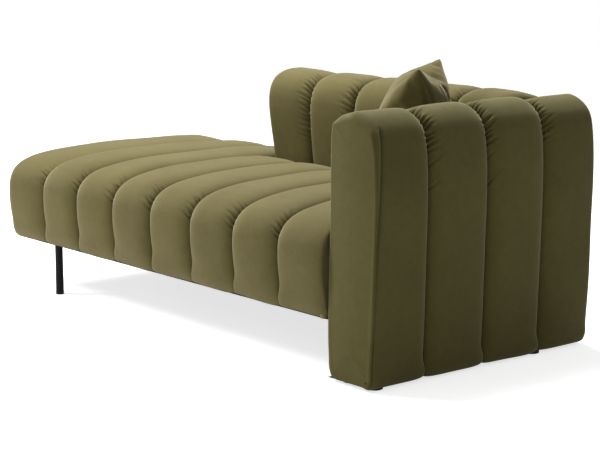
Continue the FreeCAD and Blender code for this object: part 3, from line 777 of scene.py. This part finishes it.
def ramp(tree, source, low_colour, high_colour, start=0.3, end=0.7):
    made = tree.nodes.new("ShaderNodeValToRGB")
    made.color_ramp.elements[0].position = start
    made.color_ramp.elements[1].position = end
    made.color_ramp.elements[0].color = (*low_colour, 1)
    made.color_ramp.elements[1].color = (*high_colour, 1)
    tree.links.new(source, made.inputs["Fac"])
    return made.outputs["Color"]


def multiply(tree, a, b, amount=1.0):
    made = tree.nodes.new("ShaderNodeMix")
    made.data_type = "RGBA"
    made.blend_type = "MULTIPLY"
    made.inputs["Factor"].default_value = amount
    tree.links.new(a, made.inputs["A"])
    tree.links.new(b, made.inputs["B"])
    return made.outputs["Result"]


def bump(tree, source, strength, distance, after=None):
    made = tree.nodes.new("ShaderNodeBump")
    made.inputs["Strength"].default_value = strength
    made.inputs["Distance"].default_value = distance
    tree.links.new(source, made.inputs["Height"])
    if after is not None:
        tree.links.new(after, made.inputs["Normal"])
    return made.outputs["Normal"]


def linear(*screen):
    """A colour given as 0-255 screen values, in linear light."""
    return tuple(v / 255 / 12.92 if v < 10.3 else ((v / 255 + 0.055) / 1.055) ** 2.4
                 for v in screen)


def shade(colour, factor):
    return tuple(v * factor for v in colour)


def varied_roughness(tree, shader, source, least, most):
    spread = tree.nodes.new("ShaderNodeMapRange")
    spread.inputs["To Min"].default_value = least
    spread.inputs["To Max"].default_value = most
    tree.links.new(source, spread.inputs["Value"])
    tree.links.new(spread.outputs["Result"], shader.inputs["Roughness"])


def velvet(name, colour):
    """Short-pile velvet: patches of brushed nap, fine pile and a soft sheen."""
    made, tree, shader = node_material(name)
    patches = ramp(tree, noise(tree, 5, 4, 0.6), shade(colour, 0.90), shade(colour, 1.10))
    brushed = ramp(tree, noise(tree, 48, 5, 0.65), (0.90,) * 3, (1.0,) * 3, 0.35, 0.65)
    pile = ramp(tree, noise(tree, 900, 2), (0.90,) * 3, (1.0,) * 3)
    colour_out = multiply(tree, multiply(tree, patches, brushed), pile)
    tree.links.new(colour_out, shader.inputs["Base Color"])
    grain = bump(tree, noise(tree, 1400, 2), 0.25, 0.0005)
    relief = bump(tree, noise(tree, 38, 3), 0.08, 0.0020, after=grain)
    tree.links.new(relief, shader.inputs["Normal"])
    varied_roughness(tree, shader, noise(tree, 55, 5, 0.65), 0.78, 0.95)
    shader.inputs["Specular IOR Level"].default_value = 0.15
    shader.inputs["Sheen Weight"].default_value = 0.55
    shader.inputs["Sheen Roughness"].default_value = 0.40
    shader.inputs["Sheen Tint"].default_value = (*linear(216, 207, 176), 1)
    return made


def grained(name, dark, light, stretch, scale, roughness, relief):
    """Wood or board: streaks of two tones, longer along one direction."""
    made, tree, shader = node_material(name)
    coords = tree.nodes.new("ShaderNodeTexCoord")
    mapping = tree.nodes.new("ShaderNodeMapping")
    mapping.inputs["Scale"].default_value = stretch
    streaks = tree.nodes.new("ShaderNodeTexNoise")
    streaks.inputs["Scale"].default_value = scale
    streaks.inputs["Detail"].default_value = 6
    tree.links.new(coords.outputs["Object"], mapping.inputs["Vector"])
    tree.links.new(mapping.outputs["Vector"], streaks.inputs["Vector"])
    tree.links.new(ramp(tree, streaks.outputs["Fac"], dark, light), shader.inputs["Base Color"])
    tree.links.new(bump(tree, streaks.outputs["Fac"], 0.3, relief), shader.inputs["Normal"])
    shader.inputs["Roughness"].default_value = roughness
    return made


def coated(name, colour, roughness, metallic, grain_scale):
    """Powder coat, moulded plastic or plated steel, with a fine grain."""
    made, tree, shader = node_material(name)
    tint = ramp(tree, noise(tree, 40, 3), shade(colour, 0.85), shade(colour, 1.15))
    tree.links.new(tint, shader.inputs["Base Color"])
    tree.links.new(bump(tree, noise(tree, grain_scale, 2), 0.2, 0.0002), shader.inputs["Normal"])
    varied_roughness(tree, shader, noise(tree, 90, 3), roughness - 0.06, roughness + 0.06)
    shader.inputs["Metallic"].default_value = metallic
    shader.inputs["Specular IOR Level"].default_value = 0.15
    return made


def woven(name, colour, scale):
    """A plain woven cloth: two crossed sets of fine ribs."""
    made, tree, shader = node_material(name)
    coords = tree.nodes.new("ShaderNodeTexCoord")
    ribs = []
    for direction in ("X", "Y"):
        wave = tree.nodes.new("ShaderNodeTexWave")
        wave.bands_direction = direction
        wave.inputs["Scale"].default_value = scale
        wave.inputs["Distortion"].default_value = 0.4
        tree.links.new(coords.outputs["Object"], wave.inputs["Vector"])
        ribs.append(ramp(tree, wave.outputs["Fac"], (0.7,) * 3, (1.0,) * 3))
    weave = multiply(tree, ribs[0], ribs[1])
    base = ramp(tree, noise(tree, 20, 3), shade(colour, 0.85), shade(colour, 1.1))
    tree.links.new(multiply(tree, base, weave), shader.inputs["Base Color"])
    tree.links.new(bump(tree, weave, 0.4, 0.0004), shader.inputs["Normal"])
    shader.inputs["Roughness"].default_value = 0.9
    return made


def dress_frame():
    """Every shown CAD node takes the material of its slot."""
    finishes = {
        "timber": grained("pine", linear(176, 132, 84), linear(214, 178, 128),
                          stretch=(6, 40, 40), scale=3, roughness=0.7, relief=0.0006),
        "hardboard": grained("hardboard", linear(120, 88, 58), linear(150, 114, 78),
                             stretch=(8, 8, 8), scale=30, roughness=0.8, relief=0.0003),
        "lining": woven("dust_cloth", linear(38, 38, 38), 300),
        "webbing": woven("elastic_webbing", linear(70, 66, 58), 120),
        "leg_steel": coated("black_powder_coat", linear(10, 9, 8), 0.60, 0.0, 1500),
        "black_plastic": coated("black_plastic", linear(22, 21, 20), 0.55, 0.0, 700),
        "zinc_steel": coated("zinc_plate", linear(170, 172, 170), 0.35, 1.0, 600),
    }
    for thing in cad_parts.values():
        for k, old in enumerate(thing.data.materials):
            if old and old.name in finishes:
                thing.material_slots[k].material = finishes[old.name]


# ---------------------------------------------------------------- stage
def seen_rays(tree):
    """1 for rays from the camera, a reflection or a transmission."""
    path = tree.nodes.new("ShaderNodeLightPath")
    found = path.outputs["Is Camera Ray"]
    for ray in ("Is Glossy Ray", "Is Transmission Ray"):
        either = tree.nodes.new("ShaderNodeMath")
        either.operation = "MAXIMUM"
        tree.links.new(found, either.inputs[0])
        tree.links.new(path.outputs[ray], either.inputs[1])
        found = either.outputs[0]
    return found


def pale_floor():
    floor = bpy.data.meshes.new("floor")
    corners = [(x * FLOOR_HALF, y * FLOOR_HALF, 0) for x, y in [(-1, -1), (1, -1), (1, 1), (-1, 1)]]
    floor.from_pydata(corners, [], [(0, 1, 2, 3)])
    made = bpy.data.objects.new("floor", floor)
    bpy.context.scene.collection.objects.link(made)
    finish, tree, shader = node_material("floor_white")
    shader.inputs["Base Color"].default_value = (0.85, 0.85, 0.85, 1)
    shader.inputs["Roughness"].default_value = 0.9
    shader.inputs["Emission Color"].default_value = (1, 1, 1, 1)
    glow = tree.nodes.new("ShaderNodeMath")
    glow.operation = "MULTIPLY"
    glow.inputs[1].default_value = 0.70
    tree.links.new(seen_rays(tree), glow.inputs[0])
    tree.links.new(glow.outputs[0], shader.inputs["Emission Strength"])
    floor.materials.append(finish)


def white_world():
    world = bpy.data.worlds.new("studio")
    bpy.context.scene.world = world
    world.use_nodes = True
    tree = world.node_tree
    light = tree.nodes["Background"]
    light.inputs["Color"].default_value = (1, 1, 1, 1)
    light.inputs["Strength"].default_value = 0.28
    seen = tree.nodes.new("ShaderNodeBackground")
    seen.inputs["Color"].default_value = (1, 1, 1, 1)
    mix = tree.nodes.new("ShaderNodeMixShader")
    tree.links.new(seen_rays(tree), mix.inputs["Fac"])
    tree.links.new(light.outputs[0], mix.inputs[1])
    tree.links.new(seen.outputs[0], mix.inputs[2])
    tree.links.new(mix.outputs[0], tree.nodes["World Output"].inputs["Surface"])


def soft_lamps():
    middle = (cad_box[0] + cad_box[1]) / 2
    for name, offset, energy, width in [("key", (-2.6, -2.4, 2.4), 100, 1.0),
                                        ("fill", (-0.6, -3.6, 1.0), 16, 2.0),
                                        ("top", (-0.8, 0.4, 3.2), 170, 1.6)]:
        lamp = bpy.data.lights.new(name, "AREA")
        lamp.energy = energy
        lamp.size = width
        holder = bpy.data.objects.new(name, lamp)
        holder.location = middle + Vector(offset)
        holder.rotation_euler = (-Vector(offset)).to_track_quat("-Z", "Y").to_euler()
        bpy.context.scene.collection.objects.link(holder)


def camera():
    """The photograph's viewpoint: to the right of the front, above the seat."""
    middle = (cad_box[0] + cad_box[1]) / 2
    data = bpy.data.cameras.new("camera")
    data.lens = 104.6
    data.sensor_width = 36
    data.shift_x, data.shift_y = -0.0028, 0.0009
    made = bpy.data.objects.new("camera", data)
    made.location = (middle.x + 3.948, middle.y - 3.186, 1.176)
    made.rotation_euler = (math.radians(90 - 10.20), 0, math.radians(50.29))
    bpy.context.scene.collection.objects.link(made)
    bpy.context.scene.camera = made
    bpy.context.scene.view_settings.view_transform = "Standard"


camera()
pale_floor()
white_world()
soft_lamps()
OLIVE = linear(98, 90, 52)
seat_velvet = velvet("seat_velvet", OLIVE)
back_velvet = velvet("back_velvet", OLIVE)
# painted shade: the arm's velvet is the same olive darkened to 0.88, a shaded copy of the material
# standing in for the shade that falls on the arm
arm_velvet_painted_shade = velvet("arm_velvet_painted_shade", shade(linear(96, 90, 48), 0.88))
pillow_velvet = velvet("pillow_velvet", OLIVE)
dress_frame()
seat_pieces(seat_velvet)
seat_ends(seat_velvet)
back_pieces(back_velvet)
back_end(back_velvet)
rear_panel(back_velvet)
arm_pieces(arm_velvet_painted_shade)
arm_back_panel(arm_velvet_painted_shade)
pillow(pillow_velvet)
